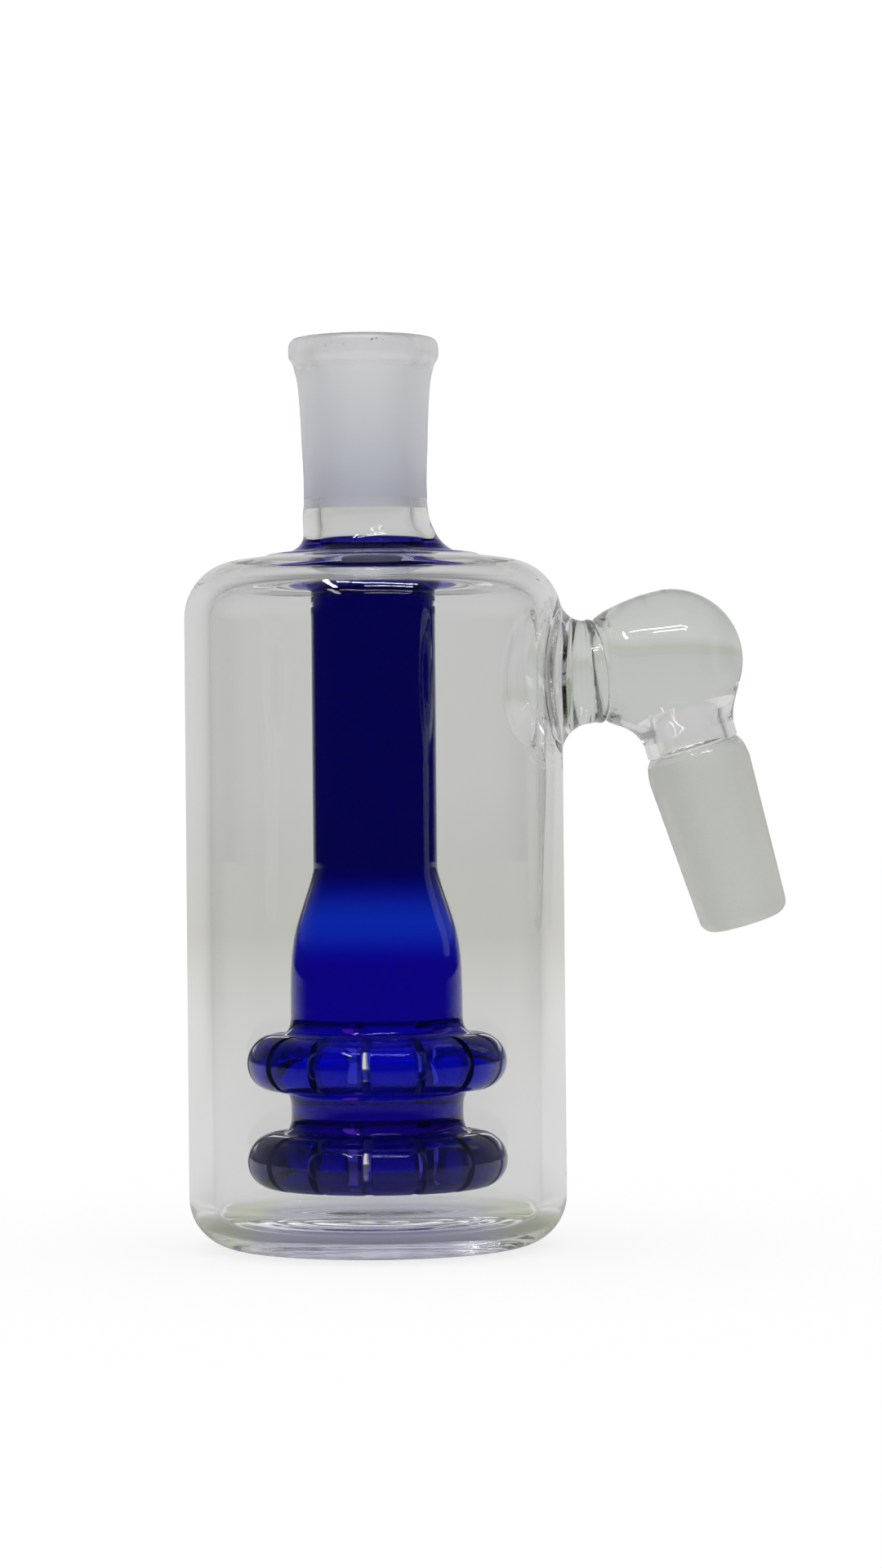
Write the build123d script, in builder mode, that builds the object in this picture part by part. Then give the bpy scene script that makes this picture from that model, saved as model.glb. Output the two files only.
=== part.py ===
from build123d import *
import math
import os

# Ash catcher in clear and blue glass: an upright can with a ground socket on top, an inner stem that
# carries two stacked slotted discs, and a side arm whose ball elbow turns down into a ground male joint.
# Millimetres. +Z is up along the can, the arm points to +X, and Z = 0 is the face the can stands on.
# Neighbouring pieces are flame-sealed on the real object, so they meet face to face here.

# Can: a heavy cup with a rounded heel and a gently sloping, rounded shoulder
can_radius = 26.4
can_wall = 3.4
floor_thickness = 3.3
heel_radius = 7.0
inner_heel_radius = 4.0
base_height = 9.0
wall_top = 92.5
shoulder_angle = 8.0
shoulder_corner_radius = 8.0
shoulder_thickness = 3.2
shoulder_top = 96.6
collar_radius = 13.3

# Ground joints: standard 14 mm taper, 1 in 10 on the diameter, 14.5 mm across at its gauge plane
gauge_radius = 7.25
taper_slope = 0.05
ground_length = 19.0

# Socket on top: rolled lip, ground bore and a short clear skirt
collar_top = 99.4
skirt_top = 105.0
skirt_radius = 9.6
socket_wall = 2.2
socket_mouth = 121.8
lip_widest = 124.6
lip_radius = 10.6
lip_crown_radius = 9.2
lip_inner_radius = 8.0
lip_inner_height = 125.5
overall_height = 126.8

# Blue stem and bell
stem_radius = 8.7
stem_wall = 2.0
stem_top = 92.4
flare_top = 52.8
bell_shoulder = 40.0
bell_radius = 12.05
foot_fillet = 0.9

# Slotted discs: hollow pills that the bell and the waist open into
disc_radius = 18.2
disc_wall = 1.9
upper_disc_low = 21.9
upper_disc_high = 29.7
lower_disc_low = 8.3
lower_disc_high = 15.9
slot_count = 15
slot_width = 1.3
slot_inner_radius = 13.4
slot_phase = 14.1

# Side arm: neck, ball elbow, shank and male joint, all in the XZ plane
ball_x = 43.1
ball_z = 81.65
ball_radius = 10.15
ball_wall = 1.8
neck_rise = 7.5
neck_radius = 7.25
neck_bore_radius = 5.4
weld_fillet = 4.5
seam_distance = 10.7
egg_shoulder_distance = 8.0
egg_shoulder_radius = 8.6
shank_tilt = 17.0
shank_inset = 0.7
shank_radius = 6.6
shank_bore_radius = 4.85
shank_start = 10.6
crook_fillet = 2.6
ring_distance = 13.0
joint_shoulder_length = 3.4
joint_top_radius = 7.4
joint_length = 26.0
joint_tip_round = 1.9
joint_bore_radius = 4.2

# Values worked out from those above
can_bore = can_radius - can_wall
socket_bore_radius = gauge_radius - taper_slope * ground_length
ground_bottom = socket_mouth - ground_length
stem_bore_radius = stem_radius - stem_wall
bell_bore_radius = bell_radius - stem_wall
foot_radius = bell_radius + foot_fillet

# The shoulder slopes from the collar to where it would cross the can's side, outside and inside.
shoulder_slope = math.tan(math.radians(shoulder_angle))
shoulder_drop = shoulder_thickness / math.cos(math.radians(shoulder_angle))
corner_z = shoulder_top - (can_radius - collar_radius) * shoulder_slope
bore_corner_z = corner_z - shoulder_drop + can_wall * shoulder_slope

ball = Vector(ball_x, 0, ball_z)
neck_out = Vector(math.cos(math.radians(neck_rise)), 0, math.sin(math.radians(neck_rise)))
shank_head = ball - Vector(shank_inset, 0, 0)
shank_down = Vector(math.sin(math.radians(shank_tilt)), 0, -math.cos(math.radians(shank_tilt)))

# The can's sections are drawn on its far side, so that no surface seam crosses the weld of the arm.
can_plane = Plane(origin=(0, 0, 0), x_dir=(-1, 0, 0), z_dir=(0, 1, 0))

# Lengthwise planes: local X runs along the neck or the shank, and local Y is the radius.
neck_plane = Plane(origin=ball, x_dir=neck_out, z_dir=(0, -1, 0))
shank_plane = Plane(origin=shank_head, x_dir=shank_down, z_dir=(0, -1, 0))

# Cross planes: local Z points from the ball back to the can, or from the ball down the shank.
neck_section = Plane(origin=ball, x_dir=(0, -1, 0), z_dir=-neck_out)
shank_section = Plane(origin=shank_head, x_dir=(0, -1, 0), z_dir=shank_down)


def vertex_at(sketch, x, highest):
    """The highest or lowest corner of a section that stands at this radius."""
    corners = sketch.vertices().filter_by(lambda corner: abs(corner.X - x) < 0.01)
    return corners.sort_by(Axis.Y)[-1 if highest else 0]


# ---------------------------------------------------------------------------------------------
# The can: base, side and shoulder

with BuildPart() as can_base:
    with BuildSketch(can_plane) as base_section:
        with BuildLine():
            Polyline(
                (0, 0),
                (can_radius, 0),
                (can_radius, base_height),
                (can_bore, base_height),
                (can_bore, floor_thickness),
                (0, floor_thickness),
                close=True,
            )
        make_face()
        fillet(vertex_at(base_section, can_radius, highest=False), heel_radius)
        fillet(vertex_at(base_section, can_bore, highest=False), inner_heel_radius)
    revolve(axis=Axis.Z)

# The side and the shoulder are one run of glass, parted part of the way up the rounded corner.
with BuildPart() as can_upper:
    with BuildSketch(can_plane) as upper_section:
        with BuildLine():
            Polyline(
                (can_radius, base_height),
                (can_radius, corner_z),
                (collar_radius, shoulder_top),
                (collar_radius, shoulder_top - shoulder_drop),
                (can_bore, bore_corner_z),
                (can_bore, base_height),
                close=True,
            )
        make_face()
        fillet(vertex_at(upper_section, can_radius, highest=True), shoulder_corner_radius)
        fillet(vertex_at(upper_section, can_bore, highest=True), shoulder_corner_radius - can_wall)
    revolve(axis=Axis.Z)

with BuildPart() as can_side:
    add(can_upper.part)
    split(bisect_by=Plane.XY.offset(wall_top), keep=Keep.BOTTOM)
    with BuildSketch(neck_section):
        Circle(neck_bore_radius)
    extrude(amount=ball_x - can_bore / 2, mode=Mode.SUBTRACT)

with BuildPart() as can_shoulder:
    add(can_upper.part)
    split(bisect_by=Plane.XY.offset(wall_top), keep=Keep.TOP)


# ---------------------------------------------------------------------------------------------
# The socket, and the blue collar that seals it and the stem to the shoulder

with BuildPart() as socket:
    with BuildSketch(Plane.XZ):
        with BuildLine():
            lip_root = (gauge_radius + socket_wall, socket_mouth)
            tube_foot_radius = gauge_radius + socket_wall - taper_slope * (socket_mouth - skirt_top)
            skirt = Spline(
                (skirt_radius, collar_top),
                (tube_foot_radius, skirt_top),
                tangents=[(-0.45, 1), (taper_slope, 1)],
            )
            Line(skirt @ 1, lip_root)
            ThreePointArc(lip_root, (lip_radius, lip_widest), (lip_crown_radius, overall_height))
            ThreePointArc(
                (lip_crown_radius, overall_height),
                (lip_inner_radius, lip_inner_height),
                (gauge_radius, socket_mouth),
            )
            Line((gauge_radius, socket_mouth), (socket_bore_radius, ground_bottom))
            Line((socket_bore_radius, ground_bottom), (socket_bore_radius, collar_top))
            Line((socket_bore_radius, collar_top), (skirt_radius, collar_top))
        make_face()
    revolve(axis=Axis.Z)

with BuildPart() as collar:
    with BuildSketch(Plane.XZ):
        with BuildLine():
            flank = Spline(
                (collar_radius, shoulder_top),
                (skirt_radius, collar_top),
                tangents=[(-1, shoulder_slope), (-0.45, 1)],
            )
            Line(flank @ 1, (socket_bore_radius, collar_top))
            Line((socket_bore_radius, collar_top), (stem_bore_radius, stem_top))
            Line((stem_bore_radius, stem_top), (stem_radius, stem_top))
            Line((stem_radius, stem_top), (collar_radius, shoulder_top - shoulder_drop))
            Line((collar_radius, shoulder_top - shoulder_drop), flank @ 0)
        make_face()
    revolve(axis=Axis.Z)


# ---------------------------------------------------------------------------------------------
# The blue stem, the bell and the slotted discs

with BuildPart() as stem_tube:
    with BuildSketch(Plane.XY.offset(flare_top)):
        Circle(stem_radius)
        Circle(stem_bore_radius, mode=Mode.SUBTRACT)
    extrude(amount=stem_top - flare_top)

with BuildPart() as bell:
    with BuildSketch(Plane.XZ):
        with BuildLine():
            flare = Spline(
                (stem_radius, flare_top),
                (bell_radius, bell_shoulder),
                tangents=[(0, -1), (0, -1)],
                tangent_scalars=[0.9, 1.3],
            )
            foot_top = upper_disc_high + foot_fillet
            Line(flare @ 1, (bell_radius, foot_top))
            RadiusArc((bell_radius, foot_top), (foot_radius, upper_disc_high), foot_fillet)
            Line((foot_radius, upper_disc_high), (bell_bore_radius, upper_disc_high))
            Line((bell_bore_radius, upper_disc_high), (bell_bore_radius, bell_shoulder - stem_wall))
            Spline(
                (bell_bore_radius, bell_shoulder - stem_wall),
                (stem_bore_radius, flare_top),
                tangents=[(0, 1), (0, 1)],
                tangent_scalars=[1.3, 0.9],
            )
            Line((stem_bore_radius, flare_top), flare @ 0)
        make_face()
    revolve(axis=Axis.Z)


def pill_outline(low, high, rim_radius):
    """Half the outline of a disc with a round rim, closed along the axis."""
    flat_radius = rim_radius - (high - low) / 2
    Line((0, high), (flat_radius, high))
    ThreePointArc((flat_radius, high), (rim_radius, (high + low) / 2), (flat_radius, low))
    Line((flat_radius, low), (0, low))
    Line((0, low), (0, high))


def slotted_disc(low, high, bore_low):
    """A hollow disc, bored from bore_low to its top, with saw slots through its rim."""
    slot_depth = disc_radius - slot_inner_radius + slot_width
    with BuildPart() as disc:
        with BuildSketch(Plane.XZ):
            with BuildLine():
                pill_outline(low, high, disc_radius)
            make_face()
            with BuildLine():
                pill_outline(low + disc_wall, high - disc_wall, disc_radius - disc_wall)
            make_face(mode=Mode.SUBTRACT)
        revolve(axis=Axis.Z)
        with BuildSketch(Plane.XY.offset(bore_low)):
            Circle(bell_bore_radius)
        extrude(amount=high - bore_low, mode=Mode.SUBTRACT)
        with BuildSketch(Plane.XY.offset(low)):
            with PolarLocations(slot_inner_radius + slot_depth / 2, slot_count, start_angle=slot_phase):
                Rectangle(slot_depth, slot_width)
        extrude(amount=high - low, mode=Mode.SUBTRACT)
    return disc


upper_disc = slotted_disc(upper_disc_low, upper_disc_high, bore_low=upper_disc_low)
lower_disc = slotted_disc(lower_disc_low, lower_disc_high, bore_low=lower_disc_low + disc_wall)

with BuildPart() as disc_waist:
    with BuildSketch(Plane.XZ):
        with BuildLine():
            foot_low = lower_disc_high + foot_fillet
            foot_high = upper_disc_low - foot_fillet
            Line((bell_bore_radius, lower_disc_high), (foot_radius, lower_disc_high))
            RadiusArc((foot_radius, lower_disc_high), (bell_radius, foot_low), foot_fillet)
            Line((bell_radius, foot_low), (bell_radius, foot_high))
            RadiusArc((bell_radius, foot_high), (foot_radius, upper_disc_low), foot_fillet)
            Line((foot_radius, upper_disc_low), (bell_bore_radius, upper_disc_low))
            Line((bell_bore_radius, upper_disc_low), (bell_bore_radius, lower_disc_high))
        make_face()
    revolve(axis=Axis.Z)


# ---------------------------------------------------------------------------------------------
# The side arm

# The can's outer form, which the neck's weld flares against.
with BuildPart() as can_form:
    with BuildSketch(can_plane) as form_section:
        with BuildLine():
            Polyline(
                (0, base_height),
                (can_radius, base_height),
                (can_radius, corner_z),
                (collar_radius, shoulder_top),
                (0, shoulder_top),
                close=True,
            )
        make_face()
        fillet(vertex_at(form_section, can_radius, highest=True), shoulder_corner_radius)
    revolve(axis=Axis.Z)

with BuildPart() as arm_neck:
    neck_run = ball_x - seam_distance - can_bore / 2
    add(can_form.part)
    with BuildSketch(neck_section.offset(seam_distance)):
        Circle(neck_radius)
    extrude(amount=neck_run)
    weld_edge = arm_neck.edges().filter_by(GeomType.BSPLINE).sort_by(Axis.X)[-1]
    fillet(weld_edge, weld_fillet)
    add(can_form.part, mode=Mode.SUBTRACT)
    with BuildSketch(neck_section.offset(seam_distance)):
        Circle(neck_bore_radius)
    extrude(amount=neck_run, mode=Mode.SUBTRACT)

with BuildPart() as elbow_bulb:
    with BuildSketch(neck_plane):
        with BuildLine():
            Spline(
                (-seam_distance, neck_radius),
                (-egg_shoulder_distance, egg_shoulder_radius),
                (0, ball_radius),
                tangents=[(1, 0.35), (1, 0)],
            )
            RadiusArc((0, ball_radius), (ball_radius, 0), ball_radius)
            Line((ball_radius, 0), (-seam_distance, 0))
            Line((-seam_distance, 0), (-seam_distance, neck_radius))
        make_face()
    revolve(axis=Axis(ball, neck_out))
    with BuildSketch(shank_section):
        Circle(shank_radius)
    extrude(amount=shank_start)
    crook_edges = elbow_bulb.edges().filter_by(GeomType.BSPLINE).filter_by(lambda e: e.center().Z < ball_z)
    fillet(crook_edges, crook_fillet)
    with Locations(ball):
        Sphere(ball_radius - ball_wall, mode=Mode.SUBTRACT)
    with BuildSketch(neck_section):
        Circle(neck_bore_radius)
    extrude(amount=seam_distance, mode=Mode.SUBTRACT)
    with BuildSketch(shank_section):
        Circle(shank_bore_radius)
    extrude(amount=shank_start, mode=Mode.SUBTRACT)

with BuildPart() as joint_shank:
    with BuildSketch(shank_section.offset(shank_start)):
        Circle(shank_radius)
        Circle(shank_bore_radius, mode=Mode.SUBTRACT)
    extrude(amount=ring_distance - shank_start)

with BuildPart() as male_joint:
    with BuildSketch(shank_plane):
        with BuildLine():
            shoulder_end = ring_distance + joint_shoulder_length
            tip = ring_distance + joint_length
            ground_end = tip - joint_tip_round
            tip_radius = joint_top_radius - taper_slope * (ground_end - shoulder_end)
            Spline(
                (ring_distance, shank_radius),
                (shoulder_end, joint_top_radius),
                tangents=[(1, 0.5), (1, -taper_slope)],
            )
            Line((shoulder_end, joint_top_radius), (ground_end, tip_radius))
            RadiusArc((ground_end, tip_radius), (tip, tip_radius - joint_tip_round), joint_tip_round)
            Line((tip, tip_radius - joint_tip_round), (tip, joint_bore_radius))
            Line((tip, joint_bore_radius), (ring_distance, shank_bore_radius))
            Line((ring_distance, shank_bore_radius), (ring_distance, shank_radius))
        make_face()
    revolve(axis=Axis(shank_head, shank_down))


# ---------------------------------------------------------------------------------------------
# One STEP file for each piece, named as its node

pieces = {
    "can_base": can_base,
    "can_wall": can_side,
    "can_shoulder": can_shoulder,
    "socket": socket,
    "collar": collar,
    "stem_tube": stem_tube,
    "bell": bell,
    "upper_disc": upper_disc,
    "disc_waist": disc_waist,
    "lower_disc": lower_disc,
    "arm_neck": arm_neck,
    "elbow_bulb": elbow_bulb,
    "joint_shank": joint_shank,
    "male_joint": male_joint,
}

os.makedirs("parts", exist_ok=True)
for name, piece in pieces.items():
    piece.part.label = name
    export_step(piece.part, f"parts/{name}.step")
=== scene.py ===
"""Looks for the glass ash catcher: every lampworked section is rebuilt as a dense, closed glass mesh that
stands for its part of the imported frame.

Lengths are in millimetres until a mesh is written, and Blender's objects are in metres.
"""
import math

import bmesh
import bpy
import numpy as np
from mathutils import Matrix, Vector


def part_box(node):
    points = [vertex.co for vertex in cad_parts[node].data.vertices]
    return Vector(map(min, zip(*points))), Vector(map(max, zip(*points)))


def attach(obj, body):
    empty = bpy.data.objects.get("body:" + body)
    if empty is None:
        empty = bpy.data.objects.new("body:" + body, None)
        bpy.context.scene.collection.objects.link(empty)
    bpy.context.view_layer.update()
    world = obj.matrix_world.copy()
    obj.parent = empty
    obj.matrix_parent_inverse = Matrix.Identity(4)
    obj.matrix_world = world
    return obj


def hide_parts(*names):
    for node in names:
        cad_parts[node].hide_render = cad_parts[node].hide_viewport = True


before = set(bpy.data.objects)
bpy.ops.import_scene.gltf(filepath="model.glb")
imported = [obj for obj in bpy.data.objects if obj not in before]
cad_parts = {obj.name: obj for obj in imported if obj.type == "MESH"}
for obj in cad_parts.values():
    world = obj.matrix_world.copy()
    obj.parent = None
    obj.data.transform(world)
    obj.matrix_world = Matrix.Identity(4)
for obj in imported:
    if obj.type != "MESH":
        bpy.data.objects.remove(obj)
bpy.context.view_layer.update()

MM = 0.001
GLASS, WELD, TINTED_WELD, HOLLOW, GROUND, LIP, SAWN = range(7)      # the finish of a face


def size_of(node):
    """A round CAD node's radius and its lowest and highest level, in millimetres."""
    low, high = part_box(node)
    return float(high[1] / MM), float(low[2] / MM), float(high[2] / MM)


# ---- Sizes: places come from the frame, and the rest are those of the part

CAN_RADIUS, _, BASE_TOP = size_of("can_base")
WALL_TOP = size_of("can_wall")[2]
SHOULDER_TOP = size_of("can_shoulder")[2]
COLLAR_RADIUS, _, COLLAR_TOP = size_of("collar")
STEM_RADIUS, FLARE_TOP, STEM_TOP = size_of("stem_tube")
_, UPPER_LOW, UPPER_HIGH = size_of("upper_disc")
_, LOWER_LOW, LOWER_HIGH = size_of("lower_disc")
SOCKET_TOP = size_of("socket")[2]

CAN_WALL = 3.4
CAN_BORE = CAN_RADIUS - CAN_WALL
FLOOR = 3.3
HEEL = 7.0
INNER_HEEL = 3.0
HOLLOW_FOOT = 0.35       # how far the underside rises in its middle
SLOPE = math.radians(8.0)
CORNER = 8.0
INNER_CORNER = CORNER - CAN_WALL
HALF_CORNER = math.radians(49.0)    # half of the angle between the side and the sloping top
SHOULDER_DROP = 3.2 / math.cos(SLOPE)
BEAD_RADIUS, BEAD_HEIGHT, BEAD_SPREAD = 14.5, 0.24, 0.55    # low bead that the torch left round the collar

GAUGE = 7.25             # radius of the socket at its mouth
TAPER = 0.05
MOUTH = 121.8
GROUND_LOW = 102.8
SOCKET_BORE = GAUGE - TAPER * (MOUTH - GROUND_LOW)
FROST_TOP = 122.3
BLUE_RADIUS = 12.4       # where the blue glass starts on the shoulder
BLUE_FOOT = (BLUE_RADIUS, SHOULDER_TOP + (COLLAR_RADIUS - BLUE_RADIUS) * math.tan(SLOPE))
SKIRT_SEAM = (9.75, 98.45)
INSIDE_SEAM = (7.5, 97.6)
# the socket was set on by hand: over a short length it moves off the can's axis, and it leans a little
OFFSET = 0.87
OFFSET_LENGTH = 5.0
LEAN = 0.006
LEAN_START = 97.35

STEM_BORE = STEM_RADIUS - 2.0
BELL_RADIUS = 12.05
BELL_BORE = BELL_RADIUS - 2.0
FOOT = 1.2               # how far the fillets spread over the discs
FOOT_HEIGHT = 2.5
FOOT_EDGE = BELL_RADIUS + FOOT
DISC_WALL = 1.9
RIM_CENTRE = 14.3        # centre of a disc's rounded rim
DISC_RADIUS = (UPPER_HIGH - UPPER_LOW) / 2 + RIM_CENTRE
SLOTS = 15
SLOT_HALF = 0.58
SLOT_INNER = 13.4
SLOT_PHASE = math.radians(14.1)

BALL = np.array((43.1, 0.0, 81.65))
BALL_RADIUS = 10.15
BALL_WALL = 1.8
RISE = math.radians(7.5)
NECK_RADIUS = 7.25
NECK_BORE = 5.4
WELD_FILLET = 4.5
SEAM = 10.7
SEAM_RADIUS = 6.9        # the groove left where the neck and the bulb were joined
TILT = math.radians(17.0)
SHANK_HEAD = BALL - np.array((0.7, 0.0, 0.0))
SHANK_RADIUS = 6.6
SHANK_BORE = 4.85
SHANK_START = 10.6
CROOK = 2.6
RING = 13.0
RING_RADIUS = 6.25       # groove where the male joint was fused on
JOINT_SHOULDER = 3.4
JOINT_RADIUS = 7.4
JOINT_LENGTH = 26.0
TIP_ROUND = 1.9
TIP_BORE = 4.2

TURN = math.radians(12.0)           # the camera looks past the arm's plane by this
FORWARD = (math.sin(TURN), math.cos(TURN), 0.0)
RIGHT = (math.cos(TURN), -math.sin(TURN), 0.0)

# frames for the round parts: origin, two cross directions, and the way along
Z_AXIS = (np.zeros(3), *np.eye(3))
TO_CAN = np.array((-math.cos(RISE), 0, -math.sin(RISE)))
NECK_AXIS = (BALL, np.array((0, 1.0, 0)), np.array((-math.sin(RISE), 0, math.cos(RISE))), TO_CAN)
DOWN = np.array((math.sin(TILT), 0, -math.cos(TILT)))
SHANK_AXIS = (SHANK_HEAD, np.array((0, 1.0, 0)), np.array((math.cos(TILT), 0, math.sin(TILT))), DOWN)

STREAK = np.array((25.9, -7.5, 75.6))           # middle of the green streak in the neck's root
STREAK_HALF = (0.8, 5.5, 4.2)                   # its half sizes


# ---- Curves of a section, as lists of (radius, height)

def arc(centre, radius, start, end, steps):
    """Points of an arc, angles in degrees from the outward direction."""
    return [(centre[0] + radius * math.cos(math.radians(a)), centre[1] + radius * math.sin(math.radians(a)))
            for a in np.linspace(start, end, steps + 1)]


def hermite(p, q, p_way, q_way, steps):
    """Points of a cubic from p to q that leaves along p_way and arrives along q_way."""
    t = np.linspace(0, 1, steps + 1)[:, None]
    p, q, p_way, q_way = (np.array(v, float) for v in (p, q, p_way, q_way))
    points = ((2 * t**3 - 3 * t**2 + 1) * p + (t**3 - 2 * t**2 + t) * p_way
              + (3 * t**2 - 2 * t**3) * q + (t**3 - t**2) * q_way)
    return [tuple(v) for v in points]


def straight(p, q, steps):
    """Evenly spaced points of a straight line."""
    return [(p[0] + (q[0] - p[0]) * t, p[1] + (q[1] - p[1]) * t) for t in np.linspace(0, 1, steps + 1)]


def smooth_line(points, count):
    """A smooth curve through points, by arc length, with Catmull-Rom pieces."""
    p = np.array(points, float)
    p = np.vstack([2 * p[0] - p[1], p, 2 * p[-1] - p[-2]])
    out = []
    for i in range(1, len(p) - 2):
        for t in np.linspace(0, 1, 16, endpoint=False):
            a, b, c, d = p[i - 1], p[i], p[i + 1], p[i + 2]
            out.append(0.5 * (2 * b + (c - a) * t + (2 * a - 5 * b + 4 * c - d) * t**2
                              + (3 * b - a - 3 * c + d) * t**3))
    out.append(p[-2])
    out = np.array(out)
    run = np.concatenate([[0], np.cumsum(np.hypot(*np.diff(out, axis=0).T))])
    at = np.linspace(0, run[-1], count + 1)
    radii, heights = (np.interp(at, run, out[:, k]) for k in (0, 1))
    return [(float(r), float(z)) for r, z in zip(radii, heights)]


# ---- Mesh making

class Shell:
    """Collects rings of points and the strips of faces between them, each face with a finish."""

    def __init__(self):
        self.points, self.faces, self.finishes = [], [], []

    def ring(self, points):
        first = len(self.points)
        self.points.extend(tuple(map(float, p)) for p in points)
        return list(range(first, len(self.points)))

    def face(self, corners, finish=GLASS):
        self.faces.append(corners)
        self.finishes.append(finish)

    def strip(self, a, b, finish=GLASS, closed=True):
        """Faces between two rings of the same count; a ring of one point is a pole."""
        count = max(len(a), len(b))
        for i in range(count if closed else count - 1):
            j = (i + 1) % count
            if len(a) == 1:
                self.face((a[0], b[j], b[i]), finish)
            elif len(b) == 1:
                self.face((a[i], a[j], b[0]), finish)
            else:
                self.face((a[i], a[j], b[j], b[i]), finish)

    def strips(self, rings, finish=GLASS, closed=True):
        for a, b in zip(rings, rings[1:]):
            self.strip(a, b, finish, closed)

    def bm(self):
        bm = bmesh.new()
        verts = [bm.verts.new(p) for p in self.points]
        for face, finish in zip(self.faces, self.finishes):
            made = bm.faces.new([verts[i] for i in face])
            made.material_index = finish
        return bm


def place(axis, radius, angle, along):
    """Points at a radius and an angle about an axis, and at a length along it."""
    origin, across, up, way = axis
    angle = np.asarray(angle)[..., None]
    radius = np.asarray(radius)[..., None]
    along = np.asarray(along)[..., None]
    return origin + radius * (np.cos(angle) * across + np.sin(angle) * up) + along * way


def lathe(sections, axis=Z_AXIS, segments=160, wobble=None):
    """A closed solid of revolution. sections is a list of (points, finish), end to end, in a loop or from
    pole to pole. wobble changes the radii and levels of a ring."""
    shell = Shell()
    angles = np.arange(segments) * 2 * math.pi / segments
    outline = [sections[0][0][0]]
    finishes = []
    for points, finish in sections:
        outline.extend(points[1:])
        finishes.extend([finish] * (len(points) - 1))
    looped = np.hypot(*(np.array(outline[0]) - np.array(outline[-1]))) < 1e-6
    if looped:
        outline = outline[:-1]
    rings = []
    for radius, along in outline:
        if radius < 1e-6:
            rings.append(shell.ring([place(axis, 0.0, 0.0, along)]))
            continue
        radii, alongs = np.full(segments, radius), np.full(segments, along)
        if wobble is not None:
            radii, alongs = wobble(radii, alongs, angles)
        rings.append(shell.ring(place(axis, radii, angles, alongs)))
    if looped:
        rings.append(rings[0])
    for a, b, finish in zip(rings, rings[1:], finishes):
        shell.strip(a, b, finish)
    return shell.bm()


def fused_tube(outer, inner, inside=HOLLOW, end_steps=(2, 2), **settings):
    """A round section between two seams. inner starts at the seam where outer ends, and runs back."""
    far_seam = straight(outer[-1], inner[0], end_steps[0])
    near_seam = straight(inner[-1], outer[0], end_steps[1])
    return lathe([(outer, GLASS), (far_seam, WELD), (inner, inside), (near_seam, WELD)], **settings)


def show(name, data):
    """A new object in the scene."""
    thing = bpy.data.objects.new(name, data)
    bpy.context.scene.collection.objects.link(thing)
    return thing


SHARP_EDGE = math.radians(32.0)


def make_piece(node, bm, glass, others=None):
    """Writes the mesh in metres, with its faces outward, and lets it stand for its CAD node. others gives the
    material of each finish besides the glass and the clear seams."""
    name = node.replace("_tube", "") + "_glass"
    materials = {GLASS: glass, WELD: weld, **(others or {})}
    order = list(materials)
    for face in bm.faces:
        face.material_index = order.index(face.material_index)
    bmesh.ops.recalc_face_normals(bm, faces=bm.faces)
    if bm.calc_volume(signed=True) < 0:
        bmesh.ops.reverse_faces(bm, faces=bm.faces)
    bmesh.ops.scale(bm, vec=(MM, MM, MM), verts=bm.verts)
    mesh = bpy.data.meshes.new(name)
    bm.to_mesh(mesh)
    bm.free()
    for material in materials.values():
        mesh.materials.append(material)
    mesh.shade_smooth()
    mesh.set_sharp_from_angle(angle=SHARP_EDGE)
    piece = show(name, mesh)
    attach(piece, "root")
    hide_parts(node)


# ---- Materials

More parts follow.
